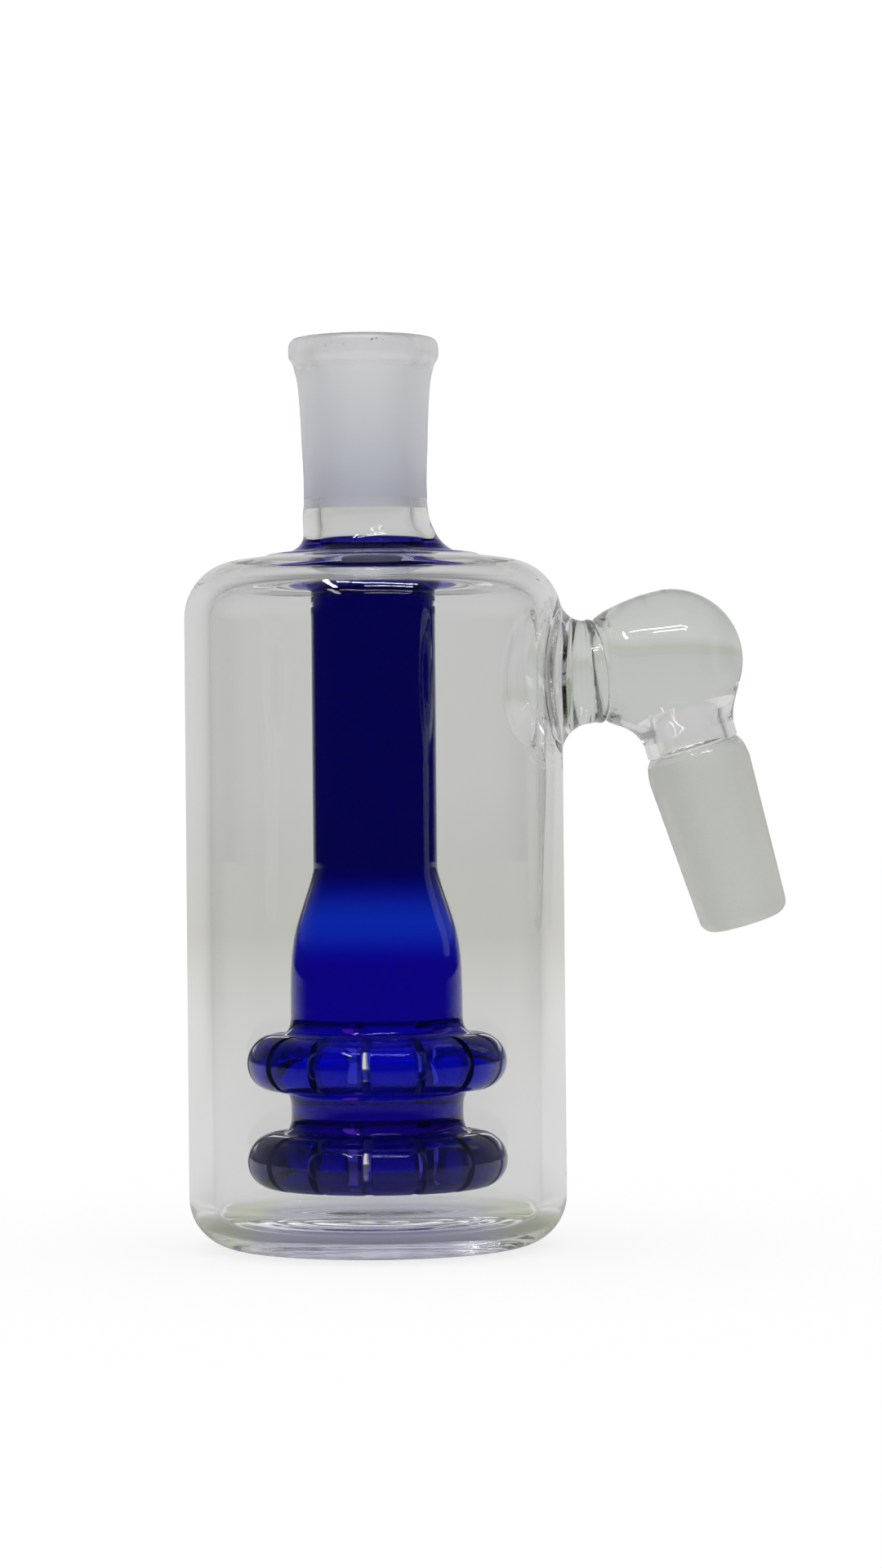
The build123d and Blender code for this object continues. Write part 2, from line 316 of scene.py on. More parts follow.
class Nodes:
    """Short calls for building a node tree."""

    def __init__(self, tree):
        self.tree = tree
        tree.nodes.clear()

    def add(self, kind, inputs=None, **settings):
        node = self.tree.nodes.new("ShaderNode" + kind)
        for key, value in settings.items():
            setattr(node, key, value)
        for key, value in (inputs or {}).items():
            socket = node.inputs[key]
            if isinstance(value, bpy.types.NodeSocket):
                self.tree.links.new(value, socket)
            else:
                socket.default_value = value
        return node

    def place(self):
        """The point's own place, in metres. All pieces share the part's frame."""
        return self.add("TexCoord").outputs["Object"]

    def height(self, vector):
        return self.add("SeparateXYZ", {0: vector}).outputs["Z"]

    def level(self, low, high):
        """How far up the point is from a low level to a high one, in millimetres."""
        return self.range(self.height(self.place()), low * MM, high * MM, smooth=False)

    def math(self, operation, a, b=0.0, c=0.0):
        return self.add("Math", {0: a, 1: b, 2: c}, operation=operation).outputs[0]

    def product(self, *factors):
        """Numbers multiplied from left to right."""
        result = factors[0]
        for factor in factors[1:]:
            result = self.math("MULTIPLY", result, factor)
        return result

    def rest(self, share):
        return self.math("SUBTRACT", 1.0, share)

    def vector(self, operation, a, b=(0.0, 0.0, 0.0)):
        """Vector maths. A dot product or a length gives a number."""
        node = self.add("VectorMath", {0: a, 1: b}, operation=operation)
        return node.outputs["Value" if operation in ("DOT_PRODUCT", "LENGTH") else "Vector"]

    def noise(self, vector, scale, detail, roughness=0.5):
        inputs = {"Vector": vector, "Scale": scale, "Detail": detail, "Roughness": roughness}
        return self.add("TexNoise", inputs).outputs["Fac"]

    def bump(self, height, strength, distance):
        inputs = {"Height": height, "Strength": strength, "Distance": distance}
        return self.add("Bump", inputs).outputs[0]

    def mix(self, share, a, b):
        """Colour a, turning into colour b as the share rises."""
        return self.add("MixRGB", {"Fac": share, "Color1": a, "Color2": b}).outputs[0]

    def surface(self, shader):
        self.add("OutputMaterial", {"Surface": shader.outputs[0]})

    def ramp(self, value, stops):
        node = self.add("ValToRGB", {"Fac": value})
        elements = node.color_ramp.elements
        while len(elements) < len(stops):
            elements.new(0.5)
        for element, (position, colour) in zip(elements, stops):
            element.position = position
            element.color = tuple(colour) + (1.0,)
        return node.outputs["Color"]

    def range(self, value, low, high, to_low=0.0, to_high=1.0, smooth=True):
        inputs = {"Value": value, "From Min": low, "From Max": high, "To Min": to_low, "To Max": to_high}
        node = self.add("MapRange", inputs)
        node.interpolation_type = "SMOOTHSTEP" if smooth else "LINEAR"
        return node.outputs["Result"]


def new_material(name):
    """Nodes of a new material, which they keep as .material."""
    material = bpy.data.materials.new(name)
    material.use_nodes = True
    nodes = Nodes(material.node_tree)
    nodes.material = material
    return nodes


IOR = 1.47               # borosilicate glass
SOFT_IOR = 1.12          # inside skins of hollows, and the collar: their edges stay soft
CLEAR_TINT = (0.965, 0.970, 0.965, 1.0)


def glass_shader(nodes, colour, roughness=0.0, transmission=1.0, bump=None, ior=IOR):
    settings = {"Base Color": colour, "Roughness": roughness, "IOR": ior, "Transmission Weight": transmission}
    if bump is not None:
        settings["Normal"] = bump
    nodes.surface(nodes.add("BsdfPrincipled", settings))
    return nodes.material


def waves(nodes, scale, strength, distance, stretch=(1.0, 1.0, 1.0)):
    """Slow unevenness of lampworked glass."""
    mapping = nodes.add("Mapping", {"Vector": nodes.place(), "Scale": stretch})
    return nodes.bump(nodes.noise(mapping.outputs[0], scale, 1.5, 0.4), strength, distance)


def grit_of(nodes):
    """Fine grit of a ground surface, and its bump."""
    grit = nodes.noise(nodes.place(), 2600.0, 3.0, 0.65)
    return grit, nodes.bump(grit, 0.25, 0.00003)


def hollow_glass(name, colour):
    """Inside skin of a blown hollow."""
    nodes = new_material(name)
    return glass_shader(nodes, tuple(colour) + (1.0,), bump=waves(nodes, 60.0, 0.3, 0.0002), ior=SOFT_IOR)


def clear_glass():
    nodes = new_material("clear_borosilicate")
    return glass_shader(nodes, CLEAR_TINT, bump=waves(nodes, 45.0, 0.35, 0.00025, (1.0, 1.0, 0.35)))


def base_glass():
    """The thick base: painted violet light and painted shade in the middle of its floor, for the blue light
    and shade from the discs above, and greener at its sides where the light runs along the glass.
    """
    nodes = new_material("clear_base")
    at = nodes.place()
    sideways = nodes.math("ABSOLUTE", nodes.vector("DOT_PRODUCT", at, RIGHT))
    share = nodes.range(sideways, 0.0, CAN_RADIUS * MM, smooth=False)
    # painted light: the middle is darker and violet, a painted shade with painted blue light from the discs
    # above
    tint = nodes.ramp(share, [(0.0, (0.80, 0.80, 0.93)), (0.55, (0.84, 0.85, 0.93)),
                              (0.75, (0.83, 0.87, 0.68)), (1.0, (0.70, 0.78, 0.50))])
    low = nodes.range(nodes.height(at), (FLOOR + 1.2) * MM, (FLOOR + 0.3) * MM)
    return glass_shader(nodes, nodes.mix(low, CLEAR_TINT, tint), bump=waves(nodes, 60.0, 0.2, 0.0002))


def arm_glass():
    """The arm's glass, with dark green flecks at the top and bottom of the seam by the bulb, and a green
    streak in the root of the neck."""
    nodes = new_material("clear_arm")
    at = nodes.place()
    from_ball = nodes.vector("SUBTRACT", at, tuple(BALL * MM))
    along = nodes.vector("DOT_PRODUCT", from_ball, tuple(TO_CAN))
    from_seam = nodes.math("ABSOLUTE", nodes.math("SUBTRACT", along, (SEAM + 0.2) * MM))
    from_axis = nodes.math("ABSOLUTE", nodes.math("ADD", nodes.height(from_ball), SEAM * math.sin(RISE) * MM))
    fleck = nodes.product(nodes.range(from_seam, 1.9 * MM, 0.9 * MM),
                          nodes.range(from_axis, 5.0 * MM, 6.4 * MM),
                          nodes.range(nodes.noise(at, 900.0, 2.0, 0.6), 0.54, 0.60))
    from_streak = nodes.vector("SUBTRACT", at, tuple(STREAK * MM))
    from_streak = nodes.vector("MULTIPLY", from_streak, tuple(1 / half for half in STREAK_HALF))
    streak = nodes.range(nodes.vector("LENGTH", from_streak), 1.0 * MM, 0.75 * MM)
    colour = nodes.mix(streak, CLEAR_TINT, (0.40, 0.49, 0.31, 1.0))
    colour = nodes.mix(fleck, colour, (0.10, 0.14, 0.05, 1.0))
    return glass_shader(nodes, colour, bump=waves(nodes, 90.0, 0.35, 0.0003))


def weld_glass(name, tint):
    """Face inside the glass where two sections were fused: it only tints the light."""
    nodes = new_material(name)
    nodes.surface(nodes.add("BsdfTransparent", {"Color": tint + (1.0,)}))
    return nodes.material


def blue_glass(name, stops, low, high, ior=IOR):
    """Cobalt glass. Its colour follows its thickness, which changes with height, except the lower disc's
    duller blue, a painted reflection. The stops run from a low level to a high one."""
    nodes = new_material(name)
    bump = waves(nodes, 60.0, 0.3, 0.0003, (1.0, 1.0, 0.3))
    return glass_shader(nodes, nodes.ramp(nodes.level(low, high), stops), bump=bump, ior=ior)


def ground_glass():
    """Ground joint surface: fine matte grit, a little milky."""
    nodes = new_material("ground_joint")
    grit, bump = grit_of(nodes)
    tone = nodes.ramp(grit, [(0.3, (0.86, 0.865, 0.835)), (0.7, (0.92, 0.925, 0.895))])
    return glass_shader(nodes, tone, roughness=0.55, transmission=0.88, bump=bump)


def socket_frost():
    """The socket's ground zone, with painted blue light: a violet cast, darker towards the bottom, for the
    light it takes from the blue glass below it.
    """
    nodes = new_material("ground_socket_painted_blue_light")
    # painted light: violet and darker towards the bottom, for blue light from the glass below
    tone = nodes.ramp(nodes.level(GROUND_LOW, FROST_TOP), [
        (0.0, (0.76, 0.77, 0.86)), (0.35, (0.86, 0.87, 0.92)), (1.0, (0.96, 0.97, 0.975))])
    return glass_shader(nodes, tone, roughness=0.5, transmission=0.9, bump=grit_of(nodes)[1])


def milky_glass():
    """The rolled lip: cloudy, with a dull skin and a few dark specks along its top."""
    nodes = new_material("cloudy_lip")
    at = nodes.place()
    speck = nodes.product(nodes.range(nodes.noise(at, 1300.0, 1.0), 0.73, 0.76),
                          nodes.range(nodes.height(at), 0.1248, 0.1254))
    colour = nodes.mix(speck, (0.95, 0.95, 0.965, 1.0), (0.10, 0.10, 0.12, 1.0))
    bump = waves(nodes, 160.0, 0.5, 0.0004)
    return glass_shader(nodes, colour, roughness=0.27, transmission=0.90, bump=bump)


def cut_glass():
    """Saw-cut edge of the blue discs: matte, and painted dark: a painted shade that makes the narrow slots
    read as dark lines.
    """
    nodes = new_material("sawn_edge_painted_shade")
    return glass_shader(nodes, (0.03, 0.05, 0.30, 1.0), roughness=0.25)


STEM_BLUE = (0.028, 0.008, 0.36)
BELL_BLUE = (0.065, 0.005, 0.60)
FLARE_BLUE = (0.070, 0.180, 0.82)
DISC_BLUE = (0.035, 0.045, 0.76)
WAIST_BLUE = (0.080, 0.020, 0.54)
# the lower disc's greyer, duller blue is a painted reflection of the floor in the can's wall
LOW_BLUE_PAINTED_REFLECTION = (0.060, 0.046, 0.42)
COLLAR_BLUE = (0.010, 0.004, 0.27)
DISC_TOP_BLUE = (0.030, 0.035, 0.70)

clear = clear_glass()
clear_base = base_glass()
arm_clear = arm_glass()
weld = weld_glass("fused_seam", (1.0, 1.0, 1.0))
blue_weld = weld_glass("fused_blue_seam", (0.06, 0.05, 0.42))
ground = ground_glass()
sawn = cut_glass()
socket_ground = socket_frost()
clear_hollow = hollow_glass("clear_hollow", (0.85, 0.87, 0.845))
milky = milky_glass()


def cobalt(name, stops, low, high):
    """A blue piece's outside and the skin of its hollow."""
    return (blue_glass("cobalt_" + name, stops, low, high),
            blue_glass("cobalt_" + name + "_hollow", stops, low, high, SOFT_IOR))


def even(colour):
    return [(0.0, colour), (1.0, colour)]


stem_blue, stem_hollow = cobalt("stem", even(STEM_BLUE), FLARE_TOP, COLLAR_TOP)
collar_blue = blue_glass("cobalt_collar", [(0.0, STEM_BLUE), (0.25, COLLAR_BLUE), (1.0, COLLAR_BLUE)],
                         STEM_TOP, COLLAR_TOP, SOFT_IOR)
bell_stops = [(0.0, BELL_BLUE), (0.40, BELL_BLUE), (0.58, FLARE_BLUE), (0.70, FLARE_BLUE), (0.94, STEM_BLUE)]
bell_blue, bell_hollow = cobalt("bell", bell_stops, UPPER_HIGH, FLARE_TOP)
disc_stops = [(0.0, DISC_BLUE), (0.5, DISC_BLUE), (1.0, DISC_TOP_BLUE)]
disc_blue, disc_hollow = cobalt("disc", disc_stops, 16.0, 30.0)
waist_blue, waist_hollow = cobalt("waist", even(WAIST_BLUE), LOWER_HIGH, UPPER_LOW)
low_blue_painted_reflection, low_hollow_painted_reflection = cobalt("low_disc", even(LOW_BLUE_PAINTED_REFLECTION), LOWER_LOW, LOWER_HIGH)


# ---- The can

def corner_centres():
    """Centres of the arcs, outer and inner, that join the can's side to its sloping top."""
    corner_z = SHOULDER_TOP - (CAN_RADIUS - COLLAR_RADIUS) * math.tan(SLOPE)
    bore_corner_z = corner_z - SHOULDER_DROP + CAN_WALL * math.tan(SLOPE)
    reach = 1 / math.tan(HALF_CORNER)
    return ((CAN_RADIUS - CORNER, corner_z - CORNER * reach),
            (CAN_BORE - INNER_CORNER, bore_corner_z - INNER_CORNER * reach))


CORNER_CENTRE, INNER_CORNER_CENTRE = corner_centres()
OUTER_CUT = math.degrees(math.asin((WALL_TOP - CORNER_CENTRE[1]) / CORNER))
INNER_CUT = math.degrees(math.asin((WALL_TOP - INNER_CORNER_CENTRE[1]) / INNER_CORNER))
CORNER_END = 90 - math.degrees(SLOPE)
CORNERS = {True: (CORNER_CENTRE, CORNER), False: (INNER_CORNER_CENTRE, INNER_CORNER)}       # outer and inner


def can_radius(outer, z):
    """Radius of the can's outer or inner surface at a height."""
    centre, radius = CORNERS[outer]
    rise = np.clip((z - centre[1]) / radius, 0, 0.98)
    return centre[0] + radius * np.sqrt(1 - rise**2)


def floor_ripple(radius):
    """Swirls left in the floor where the tube was closed, with a small bump in the middle."""
    return (0.15 * math.cos(radius * 1.7) * math.exp(-((radius - 14.5) / 5.0) ** 2)
            + 0.30 * math.exp(-(radius / 1.6) ** 2) - 0.10 * math.exp(-((radius - 3.2) / 1.2) ** 2))


def build_base():
    flat = CAN_RADIUS - HEEL
    inner_flat = CAN_BORE - INNER_HEEL
    sections = [
        ([(r, HOLLOW_FOOT * (1 - (r / flat) ** 2) ** 2) for r in np.linspace(0, flat, 24)], GLASS),
        (arc((flat, HEEL), HEEL, -90, 0, 22) + [(CAN_RADIUS, BASE_TOP)], GLASS),
        (straight((CAN_RADIUS, BASE_TOP), (CAN_BORE, BASE_TOP), 3), WELD),
        ([(CAN_BORE, BASE_TOP)] + arc((inner_flat, FLOOR + INNER_HEEL), INNER_HEEL, 0, -90, 16), GLASS),
        ([(r, FLOOR) for r in np.linspace(inner_flat, 0, 90)], GLASS),
    ]

    def swirl(radii, alongs, angles):
        """Ripples on top of the floor, higher on the far side."""
        if alongs[0] == FLOOR and radii[0] < inner_flat:
            back = 0.5 + 0.5 * np.cos(angles - math.pi / 2 + TURN + 0.5)
            alongs = alongs + floor_ripple(radii[0]) * (0.30 + 0.70 * back)
        return radii, alongs

    return lathe(sections, segments=192, wobble=swirl)


UNDER_SEAL = (STEM_RADIUS, STEM_TOP + 0.5)


def seal_curve():
    """Where the blue collar is fused into the clear shoulder, from the top edge in to the stem."""
    return smooth_line([BLUE_FOOT, (11.5, 96.6), (9.7, 96.45), (8.95, 96.1), (8.72, 95.3),
                        (STEM_RADIUS, 94.2), UNDER_SEAL], 16)


def shoulder_top():
    """The sloping top, with its low bead, after its first point."""
    start = arc(CORNER_CENTRE, CORNER, CORNER_END, CORNER_END, 0)[0]
    line = straight(start, BLUE_FOOT, 28)[1:]
    bead = [(r, z + BEAD_HEIGHT * math.exp(-((r - BEAD_RADIUS) / BEAD_SPREAD) ** 2)) for r, z in line[:-1]]
    return bead + [line[-1]]


def build_shoulder():
    underside = (COLLAR_RADIUS - 1.5, SHOULDER_TOP - SHOULDER_DROP + 1.15)
    corner = arc(CORNER_CENTRE, CORNER, OUTER_CUT, CORNER_END, 14)
    inner_corner = arc(INNER_CORNER_CENTRE, INNER_CORNER, CORNER_END, INNER_CUT, 4)
    sections = [
        (corner + shoulder_top(), GLASS),
        (seal_curve(), WELD),
        (hermite(UNDER_SEAL, underside, (0.5, 2.2), (2.8, -0.6), 14), HOLLOW),
        (straight(underside, inner_corner[0], 8)[:-1] + inner_corner, GLASS),
        ([inner_corner[-1], corner[0]], WELD),
    ]
    return lathe(sections, segments=192)


COLUMNS = 240
COLUMN_TURN = 2 * math.pi / COLUMNS
PATCH = 20               # columns each side of the arm that the round hole's patch takes
PATCH_LOW = 65.5
PATCH_ROWS = 27


def surface_point(outer, angle, travel):
    """A point of the can's outer or inner surface. travel is the length along the outline from PATCH_LOW."""
    centre, radius = CORNERS[outer]
    rest = travel - (centre[1] - PATCH_LOW)
    turn = np.clip(rest, 0, None) / radius
    r = centre[0] + radius * np.cos(turn)
    z = np.where(rest > 0, centre[1] + radius * np.sin(turn), PATCH_LOW + travel)
    return np.stack([r * np.cos(angle), r * np.sin(angle), z], axis=-1)


def travel_of(outer, z):
    """The travel at which the outline reaches a height."""
    centre, radius = CORNERS[outer]
    turn = np.arcsin(np.clip((z - centre[1]) / radius, 0, 1))
    return np.where(z > centre[1], centre[1] - PATCH_LOW + radius * turn, z - PATCH_LOW)


def meet_can(outer, angle, radius):
    """How far along the neck's axis, from the ball, a line at a radius and an angle meets the can."""
    low, high = np.full(np.shape(angle), 6.0), np.full(np.shape(angle), 30.0)
    for _ in range(40):
        mid = (low + high) / 2
        p = place(NECK_AXIS, radius, angle, mid)
        outside = np.hypot(p[..., 0], p[..., 1]) > can_radius(outer, p[..., 2])
        low, high = np.where(outside, mid, low), np.where(outside, high, mid)
    return (low + high) / 2


def patch_loop():
    """The patch's border, as (column, row) pairs in order, and the angle about the neck that each faces."""
    loop = [(c, 0) for c in range(-PATCH, PATCH)]
    loop += [(PATCH, r) for r in range(PATCH_ROWS)]
    loop += [(c, PATCH_ROWS) for c in range(PATCH, -PATCH, -1)]
    loop += [(-PATCH, r) for r in range(PATCH_ROWS, 0, -1)]
    middle = place(NECK_AXIS, 0.0, 0.0, meet_can(True, 0.0, 0.0))
    travels = np.linspace(0, travel_of(True, WALL_TOP), PATCH_ROWS + 1)
    sideways = np.array([c for c, _ in loop]) * COLUMN_TURN * CAN_RADIUS
    upward = travels[[r for _, r in loop]] - (middle[2] - PATCH_LOW)
    return loop, np.arctan2(upward, sideways)


LOOP, LOOP_ANGLES = patch_loop()
FOOT_RADIUS = NECK_RADIUS + WELD_FILLET
ROOT_BORE = 6.7          # the bore opens out where the neck was blown out of the can's side
ROOT_MOUTH = 9.6
FLARE_LENGTH = 6.5


def neck_ring(shell, radius, along):
    """Ring about the neck's axis. along is its length from the ball, or one for each point."""
    return shell.ring(place(NECK_AXIS, radius, LOOP_ANGLES, np.broadcast_to(along, len(LOOP_ANGLES))))


def foot_ring(shell, radius):
    """Ring about the neck's axis on the can's outer surface."""
    return neck_ring(shell, radius, meet_can(True, LOOP_ANGLES, radius))


def can_shell(shell, outer, low_rows):
    """Adds one surface of the can's side. Returns its lowest ring, its highest ring and the ring at the arm's
    bore."""
    top = float(travel_of(outer, WALL_TOP))
    travels = list(np.array(low_rows) - PATCH_LOW) + list(np.linspace(0, top, PATCH_ROWS + 1))
    first = len(low_rows)
    rings = []
    for row, travel in enumerate(travels):
        ring = []
        for column in range(-COLUMNS // 2, COLUMNS // 2):
            if abs(column) < PATCH and first < row < len(travels) - 1:
                ring.append(None)
                continue
            point = surface_point(outer, np.array(column * COLUMN_TURN), np.array(travel))
            ring.append(shell.ring([point])[0])
        rings.append(ring)
    for row in range(len(travels) - 1):
        for i in range(COLUMNS):
            column = i - COLUMNS // 2
            if row >= first and -PATCH <= column < PATCH:
                continue
            j = (i + 1) % COLUMNS
            shell.face((rings[row][i], rings[row][j], rings[row + 1][j], rings[row + 1][i]))
    border = [rings[first + r][COLUMNS // 2 + c] for c, r in LOOP]
    edge_radius = FOOT_RADIUS if outer else ROOT_MOUTH
    along = meet_can(outer, LOOP_ANGLES, edge_radius)
    edge = place(NECK_AXIS, edge_radius, LOOP_ANGLES, along)
    edge_angle, edge_travel = np.arctan2(edge[:, 1], edge[:, 0]), travel_of(outer, edge[:, 2])
    loop_angle = np.array([c for c, _ in LOOP]) * COLUMN_TURN
    loop_travel = np.linspace(0, top, PATCH_ROWS + 1)[[r for _, r in LOOP]]
    between = [border]
    for share in np.linspace(0, 1, 8)[1:-1]:
        share = share**0.8
        between.append(shell.ring(surface_point(outer, loop_angle + (edge_angle - loop_angle) * share,
                                                loop_travel + (edge_travel - loop_travel) * share)))
    between.append(shell.ring(edge))
    shell.strips(between)
    hole = [between[-1]]
    if outer:
        for radius in np.linspace(FOOT_RADIUS, ROOT_BORE, 6)[1:]:
            hole.append(foot_ring(shell, radius))
        shell.strips(hole, WELD)
    else:
        inside = meet_can(False, LOOP_ANGLES, ROOT_MOUTH)
        outside = meet_can(True, LOOP_ANGLES, ROOT_BORE)
        for radius, share in hermite((ROOT_MOUTH, 0.0), (ROOT_BORE, 1.0), (-3.6, 0.0), (-1.5, 1.1), 10)[1:-1]:
            hole.append(neck_ring(shell, radius, inside + (outside - inside) * share))
        shell.strips(hole)
    return rings[0], rings[-1], hole[-1]


def build_wall():
    shell = Shell()
    low_rows = [BASE_TOP, 24.0, 38.0, 52.0]
    low, high, hole = can_shell(shell, True, low_rows)
    inner_low, inner_high, inner_hole = can_shell(shell, False, low_rows)
    shell.strip(low, inner_low, WELD)
    shell.strip(high, inner_high, WELD)
    shell.strip(hole, inner_hole)
    return shell.bm()


# ---- Socket and collar

def lean(bm):
    """Moves and leans what stands above the shoulder, to the left of the camera's view."""
    for vert in bm.verts:
        rise = vert.co.z - LEAN_START
        share = min(max(rise / OFFSET_LENGTH, 0.0), 1.0)
        vert.co -= Vector(RIGHT) * (OFFSET * share * share * (3 - 2 * share) + LEAN * max(rise, 0.0))
    return bm


def build_socket():
    skirt = smooth_line([SKIRT_SEAM, (9.5, 98.9), (9.25, 99.7), (9.0, 100.9), (8.82, 102.2), (8.7, 103.2),
                         (8.64, 104.2)], 14)
    flared_bore = smooth_line([(SOCKET_BORE, GROUND_LOW), (6.36, 101.5), (6.62, 100.2), (7.02, 99.0),
                               INSIDE_SEAM], 12)
    outside = smooth_line([(8.64, 104.2), (8.62, 107.0), (8.72, 109.7), (8.84, 112.5), (8.95, 115.3),
                           (9.06, 117.4), (9.18, 119.2), (9.36, 120.8), (9.55, 121.8), (9.72, FROST_TOP)], 26)
    lip = smooth_line([(9.72, FROST_TOP), (9.86, 123.0), (10.14, 123.5), (10.42, 124.0), (10.52, 124.6),
                       (10.52, 125.3), (10.44, 125.9), (10.22, 126.4), (9.82, 126.72), (9.30, SOCKET_TOP),
                       (8.75, 126.7), (8.25, 126.3), (7.85, 125.4), (7.55, 124.2), (7.36, 122.9),
                       (GAUGE, MOUTH)], 48)
    sections = [
        (skirt, GLASS),
        (outside, GROUND),
        (lip, LIP),
        (straight((GAUGE, MOUTH), (SOCKET_BORE, GROUND_LOW), 16), GROUND),
        (flared_bore, GLASS),
        (straight(INSIDE_SEAM, SKIRT_SEAM, 4), WELD),
    ]
    return lean(lathe(sections))


def build_collar():
    outside = smooth_line([BLUE_FOOT, (11.9, 96.9), (11.4, 97.08), (10.7, 97.5), (10.15, 97.95),
                           SKIRT_SEAM], 14)
    seal = seal_curve()
    sections = [
        (outside, GLASS),
        (straight(SKIRT_SEAM, INSIDE_SEAM, 4), TINTED_WELD),
        (hermite(INSIDE_SEAM, (STEM_BORE, STEM_TOP), (-0.8, -1.5), (0, -1.5), 10), GLASS),
        (straight((STEM_BORE, STEM_TOP), (STEM_RADIUS, STEM_TOP), 2), WELD),
        (straight((STEM_RADIUS, STEM_TOP), UNDER_SEAL, 2), GLASS),
        (seal[:7:-1], TINTED_WELD),
        (seal[8::-1], WELD),
    ]
    return lean(lathe(sections))


# ---- Blue stem, bell and discs

def build_stem():
    return fused_tube(straight((STEM_RADIUS, FLARE_TOP), (STEM_RADIUS, STEM_TOP), 8),
                      straight((STEM_BORE, STEM_TOP), (STEM_BORE, FLARE_TOP), 8))


def foot_curve(level, way):
    """The fillet that spreads from the bell or waist onto a disc's face."""
    return [(BELL_RADIUS + FOOT * (1 - math.cos(t)), level + way * FOOT_HEIGHT * (1 - math.sin(t)))
            for t in np.radians(np.linspace(0, 90, 11))]


def build_bell():
    outer = smooth_line([(STEM_RADIUS, FLARE_TOP), (8.84, 52.0), (9.05, 51.2), (9.4, 50.0), (9.9, 48.5),
                         (10.4, 47.0), (10.85, 45.6), (11.2, 44.4), (11.5, 43.0), (11.72, 41.5),
                         (11.87, 40.0), (11.97, 38.0), (12.03, 35.5), (BELL_RADIUS, 33.0)], 40)
    inner = smooth_line([(STEM_BORE, FLARE_TOP), (6.75, 52.0), (7.1, 50.6), (7.8, 48.6), (8.6, 46.4),
                         (9.2, 44.4), (9.6, 42.5), (9.85, 40.0), (9.97, 38.0), (BELL_BORE, 35.0)], 40)
    outer += foot_curve(UPPER_HIGH, 1)
    inner = straight((BELL_BORE, UPPER_HIGH), inner[-1], 4) + inner[::-1][1:]
    return fused_tube(outer, inner, end_steps=(3, 2))


def build_waist():
    return fused_tube(foot_curve(LOWER_HIGH, 1)[::-1] + foot_curve(UPPER_LOW, -1),
                      straight((BELL_BORE, UPPER_LOW), (BELL_BORE, LOWER_HIGH), 4), end_steps=(3, 3))


def build_disc(low, high, closed=False):
    """A hollow disc with parallel-sided saw slots through its rim. The glass between two slots is a tooth."""
    shell = Shell()
    tooth_points = 11
    half_tooth = math.pi / SLOTS
    half_height = (high - low) / 2
    centre = (DISC_RADIUS - half_height, (high + low) / 2)

    def rim(inset):
        """Outline of the rim from its top edge to its bottom edge, moved into the glass."""
        return ([(SLOT_INNER, high - inset)] + arc(centre, half_height - inset, 90, -90, 20)
                + [(SLOT_INNER, low + inset)])

    def tooth_angles(radius, tooth):
        reach = half_tooth - math.asin(SLOT_HALF / max(radius, SLOT_INNER))
        return SLOT_PHASE + (tooth + 0.5) * 2 * half_tooth + np.linspace(-reach, reach, tooth_points)

    def tooth_row(radius, height, tooth):
        return shell.ring(place(Z_AXIS, radius, tooth_angles(radius, tooth), height))

    def hub_ring(radius, height):
        """A whole ring inside the slots' ends, with its points on the lines of the teeth's points."""
        angles = np.concatenate([tooth_angles(radius, tooth) for tooth in range(SLOTS)])
        return shell.ring(place(Z_AXIS, radius, angles, height))

    # teeth: outer and inner skins with the sawn walls between them
    gates = {"top": [], "top_in": [], "low": [], "low_in": []}
    for tooth in range(SLOTS):
        outer = [tooth_row(r, z, tooth) for r, z in rim(0.0)]
        inner = [tooth_row(r, z, tooth) for r, z in rim(DISC_WALL)]
        shell.strips(outer, closed=False)
        shell.strips(inner, HOLLOW, closed=False)
        for side in (0, -1):
            for (a, b), (c, d) in zip(zip(outer, outer[1:]), zip(inner, inner[1:])):
                shell.face((a[side], b[side], d[side], c[side]), SAWN)
        gates["top"] += outer[0]
        gates["low"] += outer[-1]
        gates["top_in"] += inner[0]
        gates["low_in"] += inner[-1]
    # the slots' inner ends
    for upper, under in (("top", "top_in"), ("low_in", "low")):
        for tooth in range(SLOTS):
            i = (tooth + 1) * tooth_points - 1
            j = (i + 1) % (SLOTS * tooth_points)
            shell.face((gates[upper][i], gates[upper][j], gates[under][j], gates[under][i]), SAWN)

    top_foot, top_bore = hub_ring(FOOT_EDGE, high), hub_ring(BELL_BORE, high)
    top_bore_in = hub_ring(BELL_BORE, high - DISC_WALL)
    shell.strip(gates["top"], top_foot)
    shell.strip(top_foot, top_bore, WELD)
    shell.strips([top_bore, top_bore_in, gates["top_in"]], HOLLOW)
    if closed:
        rings = [hub_ring(r, low + DISC_WALL) for r in (9.0, 4.5)]
        shell.strips([gates["low_in"], *rings, shell.ring([(0, 0, low + DISC_WALL)])], HOLLOW)
        dish = 0.25
        rings = [hub_ring(r, low + (dish * (1 - r / SLOT_INNER))) for r in (10.0, 6.0, 3.0)]
        shell.strips([gates["low"], *rings, shell.ring([(0, 0, low + dish)])])
    else:
        low_foot, low_bore = hub_ring(FOOT_EDGE, low), hub_ring(BELL_BORE, low)
        low_bore_in = hub_ring(BELL_BORE, low + DISC_WALL)
        shell.strip(gates["low"], low_foot)
        shell.strip(low_foot, low_bore, WELD)
        shell.strips([low_bore, low_bore_in, gates["low_in"]], HOLLOW)
    return shell.bm()


# ---- The side arm

